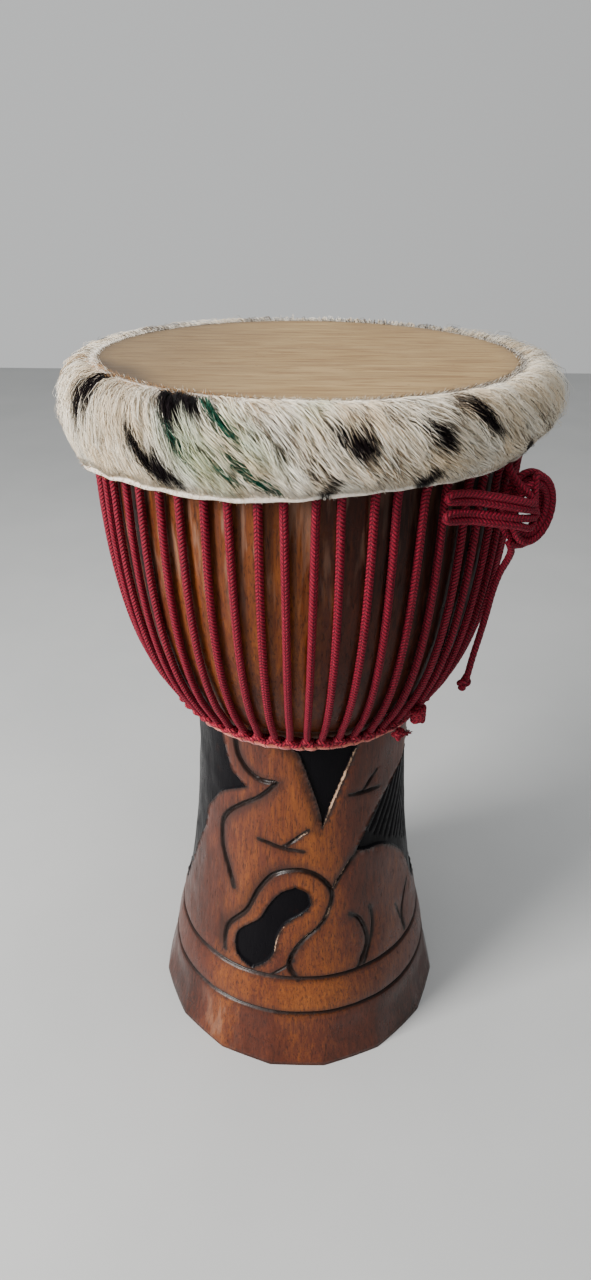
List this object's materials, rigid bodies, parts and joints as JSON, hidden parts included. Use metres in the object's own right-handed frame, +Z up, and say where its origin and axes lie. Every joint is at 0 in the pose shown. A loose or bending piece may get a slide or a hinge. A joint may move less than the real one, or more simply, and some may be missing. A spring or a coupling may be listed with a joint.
{
  "type": "goblet drum",
  "caption": "Carved wooden goblet hand drum with a hair-on goatskin head, rope lacing over steel rings and a relief-carved flared stem.",
  "frame": {"origin": "centre of the foot's underside, on the surface that the drum stands on", "axes": "+Z up the drum's axis towards the playing head, -Y towards the front of the carving, +X to the right seen from the front"},
  "size_m": [0.336, 0.336, 0.6],
  "materials": {
    "carved_wood": "stained and varnished, with black painted sunk grounds",
    "goatskin": "raw hide, shaved on the playing head and hair-on at the edge",
    "ring_steel": "plain rod",
    "wrapped_ring": "steel rod wrapped in red cloth",
    "rope": "braided burgundy cord"
  },
  "bodies": {
    "root": {"shell": "carved_wood", "goatskin": "goatskin", "crown_ring": "ring_steel", "flesh_ring": "ring_steel", "bottom_ring": "wrapped_ring", "top_loops": "rope", "bottom_loops": "rope", "lacing_rope": "rope", "hank_coil": "rope", "hank_bights": "rope", "rope_tail": "rope", "tail_knot": "rope", "tie_off_knot": "rope", "tie_off_wraps": "rope"}
  },
  "joints": []
}
